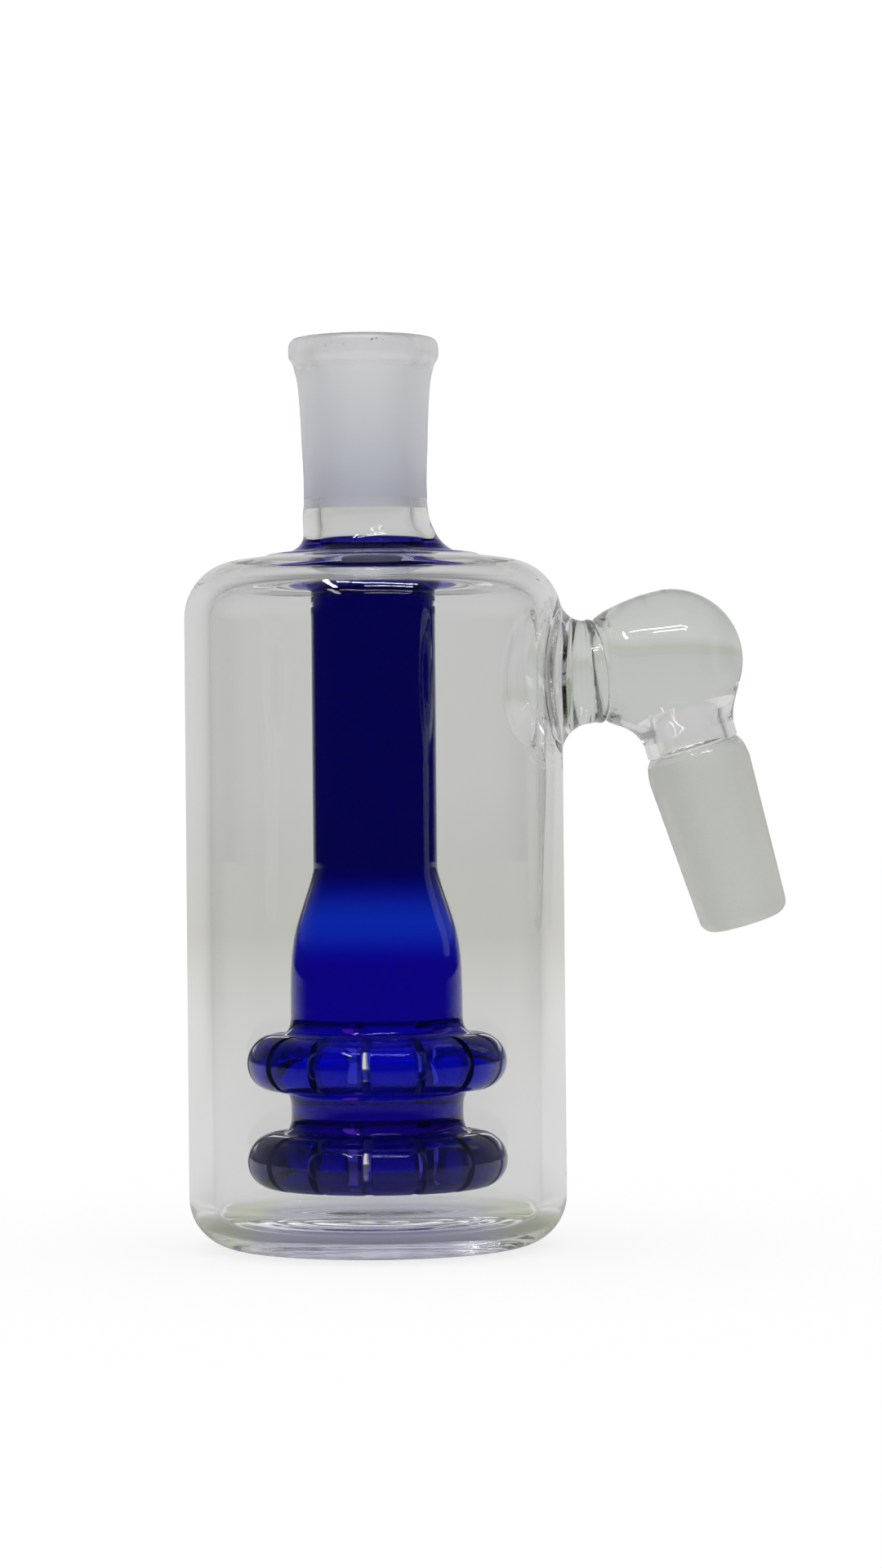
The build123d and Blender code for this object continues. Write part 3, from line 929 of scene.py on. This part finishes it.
def build_neck():
    shell = Shell()
    weld_rings = [foot_ring(shell, radius) for radius in np.linspace(ROOT_BORE, FOOT_RADIUS, 6)]
    flare = [weld_rings[-1]]
    for turn in np.radians(np.linspace(0, 90, 15)[1:]):
        radius = FOOT_RADIUS - WELD_FILLET * math.sin(turn)
        rise = WELD_FILLET * (1 - math.cos(turn))
        flare.append(neck_ring(shell, radius, meet_can(True, LOOP_ANGLES, radius) - rise))
    last = meet_can(True, LOOP_ANGLES, NECK_RADIUS) - WELD_FILLET
    for share in np.linspace(0, 1, 7)[1:-1]:
        flare.append(neck_ring(shell, NECK_RADIUS, last + (SEAM + 1.0 - last) * share))
    for radius, before in ((7.38, 1.0), (7.42, 0.75), (7.34, 0.5), (7.12, 0.25), (SEAM_RADIUS, 0.0)):
        flare.append(neck_ring(shell, radius, SEAM + before))
    seam_in = neck_ring(shell, NECK_BORE, SEAM)
    root = meet_can(True, LOOP_ANGLES, ROOT_BORE)
    bore = [seam_in]
    opening = hermite((NECK_BORE, FLARE_LENGTH), (ROOT_BORE, 0.0), (0.0, -3.0), (1.2, -1.6), 10)
    for radius, before in opening[:-1]:
        bore.append(neck_ring(shell, radius, np.maximum(root - before, SEAM + 0.4)))
    bore.append(weld_rings[0])
    shell.strips(weld_rings, WELD)
    shell.strips(flare)
    shell.strip(flare[-1], seam_in, WELD)
    shell.strips(bore, HOLLOW)
    return shell.bm()


def round_union(a, b, radius):
    """Two distances joined with a fillet."""
    u, v = np.maximum(radius - a, 0), np.maximum(radius - b, 0)
    return np.maximum(radius, np.minimum(a, b)) - np.hypot(u, v)


ARM_SEGMENTS = 144
TUBE_ROWS = 16           # rows of the bulb's inside that belong to the straight bore below it
EGG = smooth_line([(6.9, -SEAM - 1.2), (SEAM_RADIUS, -SEAM), (7.18, -10.4), (7.45, -10.15), (7.80, -9.6),
                   (8.45, -8.2), (9.25, -5.6), (9.86, -2.7), (BALL_RADIUS, 0.0)], 60)
EGG_AT = np.array([z for _, z in EGG])
EGG_RADIUS = np.array([r for r, _ in EGG])


def bulb_distance(p, outer):
    """Distance-like value: below nought inside the bulb and shank."""
    rel = p - BALL
    along = -(rel @ TO_CAN)                       # away from the can
    off = np.sqrt(np.maximum((rel**2).sum(-1) - along**2, 0))
    shank = p - SHANK_HEAD
    down = shank @ DOWN
    shank_off = np.sqrt(np.maximum((shank**2).sum(-1) - down**2, 0))
    ball = np.linalg.norm(rel, axis=-1)
    if outer:
        egg = np.where(along > 0, ball - BALL_RADIUS, off - np.interp(along, EGG_AT, EGG_RADIUS))
        tube = np.where(down > 0, shank_off - SHANK_RADIUS, 9.0)
        return round_union(egg, tube, CROOK)
    hollow = ball - (BALL_RADIUS - BALL_WALL)
    bore = np.where(along < 0, off - NECK_BORE, 9.0)
    tube = np.where(down > 0, shank_off - SHANK_BORE, 9.0)
    return round_union(round_union(hollow, bore, 2.0), tube, 1.6)


def cast(directions, outer):
    """Points where rays from the head of the shank leave the form."""
    near, far = np.full(len(directions), 1.0), np.full(len(directions), 1.0)
    found = np.zeros(len(directions), bool)
    for t in np.arange(1.5, 34.0, 0.25):
        out = bulb_distance(SHANK_HEAD + directions * t, outer) > 0
        far = np.where(~found & out, t, far)
        near = np.where(~found & ~out, t, near)
        found |= out
    far = np.where(found, far, near + 0.25)
    for _ in range(30):
        mid = (near + far) / 2
        out = bulb_distance(SHANK_HEAD + directions * mid[:, None], outer) > 0
        near, far = np.where(out, near, mid), np.where(out, mid, far)
    return SHANK_HEAD + directions * ((near + far) / 2)[:, None]


def build_elbow():
    shell = Shell()
    columns = 200
    _, across, up, way = SHANK_AXIS
    turn = np.arange(columns) * 2 * math.pi / columns
    outward = np.cos(turn)[:, None] * across + np.sin(turn)[:, None] * up
    ends = []
    for outer, radius in ((True, SHANK_RADIUS), (False, SHANK_BORE)):
        start = math.atan2(radius, SHANK_START)
        rows = []
        for polar in np.linspace(start, math.pi, 121)[:-1]:
            rows.append(shell.ring(cast(math.cos(polar) * way + math.sin(polar) * outward, outer)))
        rows.append(shell.ring(cast(-way[None, :], outer)))
        tube_rows = len(rows) if outer else TUBE_ROWS
        shell.strips(rows[:tube_rows], GLASS)
        shell.strips(rows[tube_rows - 1:], HOLLOW)
        ends.append(rows[0])
    shell.strip(ends[0], ends[1], WELD)
    # the bore's part beyond the seam is cut off, and the cut is closed
    bm = shell.bm()
    bmesh.ops.bisect_plane(bm, geom=bm.verts[:] + bm.edges[:] + bm.faces[:],
                           plane_co=Vector(BALL + TO_CAN * SEAM), plane_no=Vector(TO_CAN), clear_outer=True)
    rim = [e for e in bm.edges if e.is_boundary]
    made = bmesh.ops.triangle_fill(bm, edges=rim, use_beauty=True, use_dissolve=False, normal=Vector(TO_CAN))
    for face in made["geom"]:
        if isinstance(face, bmesh.types.BMFace):
            face.material_index = WELD
    return bm


def build_shank():
    outer = (straight((SHANK_RADIUS, SHANK_START), (SHANK_RADIUS, RING - 0.5), 4)
             + arc((SHANK_RADIUS - 0.4, RING - 0.4), 0.4, 0, 80, 5)[1:] + [(RING_RADIUS, RING)])
    inner = straight((SHANK_BORE, RING), (SHANK_BORE, SHANK_START), 5)
    return fused_tube(outer, inner, GLASS, axis=SHANK_AXIS, segments=ARM_SEGMENTS)


def build_joint():
    shoulder_end = RING + JOINT_SHOULDER
    tip = RING + JOINT_LENGTH
    ground_end = tip - TIP_ROUND
    tip_radius = JOINT_RADIUS - TAPER * (ground_end - shoulder_end)
    shoulder = hermite((RING_RADIUS, RING), (JOINT_RADIUS, shoulder_end), (2.6, 0.6), (0.0, 2.6), 14)
    sections = [
        (shoulder[:6], GLASS),
        (shoulder[5:] + straight(shoulder[-1], (tip_radius, ground_end), 20)[1:], GROUND),
        (arc((tip_radius - TIP_ROUND, ground_end), TIP_ROUND, 0, 90, 8), GROUND),
        (straight((tip_radius - TIP_ROUND, tip), (TIP_BORE, tip), 3), GROUND),
        (straight((TIP_BORE, tip), (SHANK_BORE, RING), 12), HOLLOW),
        (straight((SHANK_BORE, RING), (RING_RADIUS, RING), 2), WELD),
    ]
    return lathe(sections, SHANK_AXIS, ARM_SEGMENTS)


clear_inside = {HOLLOW: clear_hollow}
make_piece("can_base", build_base(), clear_base)
make_piece("can_wall", build_wall(), clear)
make_piece("can_shoulder", build_shoulder(), clear, clear_inside)
make_piece("socket", build_socket(), clear, {GROUND: socket_ground, LIP: milky})
make_piece("collar", build_collar(), collar_blue, {TINTED_WELD: blue_weld})
make_piece("stem_tube", build_stem(), stem_blue, {HOLLOW: stem_hollow})
make_piece("bell", build_bell(), bell_blue, {HOLLOW: bell_hollow})
make_piece("upper_disc", build_disc(UPPER_LOW, UPPER_HIGH), disc_blue,
           {HOLLOW: disc_hollow, SAWN: sawn})
make_piece("disc_waist", build_waist(), waist_blue, {HOLLOW: waist_hollow})
make_piece("lower_disc", build_disc(LOWER_LOW, LOWER_HIGH, closed=True), low_blue_painted_reflection,
           {HOLLOW: low_hollow_painted_reflection, SAWN: sawn})
make_piece("arm_neck", build_neck(), arm_clear, clear_inside)
make_piece("elbow_bulb", build_elbow(), arm_clear, clear_inside)
make_piece("joint_shank", build_shank(), clear)
make_piece("male_joint", build_joint(), clear, {GROUND: ground, HOLLOW: clear_hollow})


# ---- Stage: white to the camera, and the soft greys of a studio to what is seen through or in the glass

DIM_ROOM = 0.02          # share of the light where mirrored rays find the room dark
CLEAR_ROOM = 0.45        # least share for rays mirrored within clear glass, unless they go back
TWICE_MIRRORED = 0.4     # share lost by rays mirrored more than once deep in the glass
DEEP = 3.5               # a ray that has passed more surfaces than this has met what stands in the can


def stage_rays(nodes, room, facing):
    """Shares for the stage: camera rays, rays to be shown plain white, and how bright it looks to other rays.
    room is the share of the light that a ray mirrored once finds in its direction, and facing says how far
    the ray goes away from the camera."""
    path = nodes.add("LightPath").outputs
    met_floor = nodes.math("GREATER_THAN", path["Diffuse Depth"], 0.5)
    white = nodes.math("MAXIMUM", path["Is Camera Ray"], met_floor)
    mirrored = nodes.product(nodes.math("COMPARE", path["Glossy Depth"], 1.0, 0.5),
                             nodes.math("LESS_THAN", path["Transmission Depth"], DEEP + 1.0))
    in_clear = nodes.math("COMPARE", path["Transmission Depth"], 2.0, 1.5)
    least = nodes.product(in_clear, nodes.range(facing, -0.4, 0.1, 0.0, CLEAR_ROOM))
    room = nodes.math("MAXIMUM", room, least)
    bright = nodes.math("ADD", nodes.product(room, mirrored), nodes.rest(mirrored))
    again = nodes.product(nodes.math("GREATER_THAN", path["Glossy Depth"], 1.5),
                          nodes.math("GREATER_THAN", path["Transmission Depth"], DEEP))
    bright = nodes.product(bright, nodes.rest(nodes.product(again, TWICE_MIRRORED)))
    return path["Is Camera Ray"], white, bright


def blend(nodes, share, a, b):
    """Number a, turning into number b as the share rises."""
    return nodes.math("ADD", nodes.product(a, nodes.rest(share)), nodes.product(b, share))


world = bpy.data.worlds.new("studio")
bpy.context.scene.world = world
world.use_nodes = True
sky = Nodes(world.node_tree)
way = sky.add("TexCoord").outputs["Generated"]
height = sky.height(way)
grey = sky.ramp(sky.range(height, -1.0, 1.0, smooth=False), [
    (0.0, (0.55, 0.55, 0.54)), (0.49, (0.60, 0.60, 0.58)), (0.50, (0.64, 0.64, 0.63)),
    (0.56, (0.65, 0.65, 0.65)), (0.75, (0.645, 0.645, 0.645)), (1.0, (0.65, 0.65, 0.65))])
ahead = sky.vector("DOT_PRODUCT", way, FORWARD)
path = sky.add("LightPath").outputs
met_inside = sky.math("GREATER_THAN", path["Transmission Depth"], DEEP)
met_outside = sky.math("LESS_THAN", path["Transmission Depth"], 0.5)        # mirrored by the outer surface
# what a mirrored ray finds: a light backdrop ahead of the camera and a dim room behind it
room = sky.range(ahead, 0.15, 0.85, DIM_ROOM, 1.0)
upright = sky.range(sky.math("ABSOLUTE", height), 0.14, 0.06)
room = blend(sky, sky.product(upright, met_inside), room, sky.range(ahead, 0.70, 1.0, DIM_ROOM, 1.0))
room = blend(sky, met_inside, room, sky.product(room, sky.range(height, 0.045, 0.075, 1.0, 0.3)))
room = blend(sky, met_outside, room, sky.product(room, sky.range(height, 0.25, 0.55, 1.0, 0.2)))
_, white, bright = stage_rays(sky, room, ahead)
window = sky.product(sky.range(height, 0.120, 0.135), sky.range(height, 0.22, 0.19),
                     sky.range(ahead, 0.75, 0.9), sky.math("COMPARE", path["Glossy Depth"], 1.0, 0.5),
                     met_inside)
bright = sky.math("ADD", bright, sky.product(window, 2.0))
seen = sky.add("VectorMath", {0: grey, "Scale": bright}, operation="SCALE").outputs[0]
colour = sky.mix(white, seen, (1.06, 1.06, 1.06, 1.0))
background = sky.add("Background", {"Color": colour, "Strength": 1.0})
sky.add("OutputWorld", {"Surface": background.outputs[0]})

FLOOR_RADIUS = 3.0
floor_mesh = bpy.data.meshes.new("floor")
floor_bm = bmesh.new()
bmesh.ops.create_circle(floor_bm, cap_ends=True, radius=FLOOR_RADIUS, segments=96)
floor_bm.to_mesh(floor_mesh)
floor_bm.free()
floor = show("floor", floor_mesh)
floor.location = (0, 0, -0.0002)
nodes = new_material("pale_floor")
level_place = nodes.vector("MULTIPLY", nodes.place(), (1.0, 1.0, 0.0))
distance = nodes.vector("LENGTH", level_place)
# painted shadow: dark and violet out to about 14 mm from the middle and lighter by 90 mm, a painted contact
# shadow with painted blue light from the discs; a little lighter out to 0.6 m and darker beyond
tone = nodes.ramp(nodes.range(distance, 0.0, FLOOR_RADIUS, smooth=False), [
    (0.0, (0.26, 0.26, 0.36)), (0.0045, (0.29, 0.29, 0.385)), (0.010, (0.59, 0.59, 0.575)),
    (0.03, (0.70, 0.70, 0.70)), (0.10, (0.70, 0.70, 0.695)), (0.20, (0.72, 0.72, 0.71)),
    (0.42, (0.605, 0.605, 0.56)), (1.0, (0.61, 0.61, 0.595))])
beyond = nodes.vector("DOT_PRODUCT", level_place, FORWARD)
far_ahead = nodes.math("DIVIDE", beyond, nodes.math("MAXIMUM", distance, 0.001))
room = blend(nodes, nodes.range(distance, 0.2, 0.8), nodes.range(beyond, -0.20, 0.12, DIM_ROOM, 1.0),
             nodes.range(far_ahead, 0.15, 0.85, DIM_ROOM, 1.0))
camera_ray, white, bright = stage_rays(nodes, room, far_ahead)
glow = nodes.add("Emission", {"Color": tone, "Strength": bright})
plain = nodes.add("Emission", {"Color": (0.96, 0.96, 0.96, 1.0), "Strength": 1.0})
matte = nodes.add("BsdfDiffuse", {"Color": (0.97, 0.97, 0.97, 1.0)})
lit = nodes.add("Emission", {"Color": (1.0, 1.0, 1.0, 1.0)})
shader = nodes.add("MixShader", {0: white, 1: glow.outputs[0], 2: plain.outputs[0]})
half_lit = nodes.add("MixShader", {0: 0.75, 1: matte.outputs[0], 2: lit.outputs[0]})
shader = nodes.add("MixShader", {0: camera_ray, 1: shader.outputs[0], 2: half_lit.outputs[0]})
nodes.surface(shader)
floor_mesh.materials.append(nodes.material)


def studio(right, near, up):
    """A point of the room, in metres: to the right of the camera's view, towards the camera, and up."""
    return Vector(RIGHT) * right - Vector(FORWARD) * near + Vector((0, 0, up))


CEILING = 1.6
TUBE_STRENGTH = 34.0
TUBE_AIM = Vector((0, 0, 0.07))          # the tubes face the middle of the part


def tube(name, start, end, width):
    """A ceiling tube between two places, each to the right and near. It shows in the glass, but doesn't light
    the floor."""
    start, end = (studio(*at, CEILING) for at in (start, end))
    light = bpy.data.lights.new(name, "AREA")
    light.shape = "RECTANGLE"
    length = (end - start).length
    light.size, light.size_y = length, width
    light.energy = TUBE_STRENGTH * length * width * math.pi
    body = show(name, light)
    middle = (start + end) / 2
    along = (end - start).normalized()
    facing = (TUBE_AIM - middle).normalized()
    across = facing.cross(along).normalized()
    facing = along.cross(across).normalized()
    body.matrix_world = Matrix.Translation(middle) @ Matrix((along, across, -facing)).transposed().to_4x4()
    body.visible_camera = False
    body.visible_diffuse = False


tube("tube_across_near", (-0.15, 1.00), (0.75, 1.00), 0.05)
tube("tube_across_far", (-0.15, 1.26), (0.75, 1.26), 0.05)
tube("tube_along", (-0.64, 0.65), (-0.64, 1.30), 0.08)
tube("tube_left", (-0.50, 0.80), (-0.08, 1.02), 0.04)


# ---- Camera

DISTANCE = 0.606
ASIDE = 0.0093
EYE_HEIGHT = 0.0644
ROLL = math.radians(-0.52)
camera_data = bpy.data.cameras.new("camera")
camera_data.sensor_width = 36.0
camera_data.lens = 99.4
camera_data.clip_start = 0.01
camera_data.clip_end = 20.0
camera = show("camera", camera_data)
camera.matrix_world = (
    Matrix.Translation(studio(ASIDE, DISTANCE, EYE_HEIGHT))
    @ Vector(FORWARD).to_track_quat("-Z", "Y").to_matrix().to_4x4()
    @ Matrix.Rotation(ROLL, 4, "Z")
)
bpy.context.scene.camera = camera
bpy.context.scene.view_settings.view_transform = "Standard"
for limit in ("max_bounces", "transmission_bounces", "glossy_bounces", "transparent_max_bounces"):
    setattr(bpy.context.scene.cycles, limit, 48)
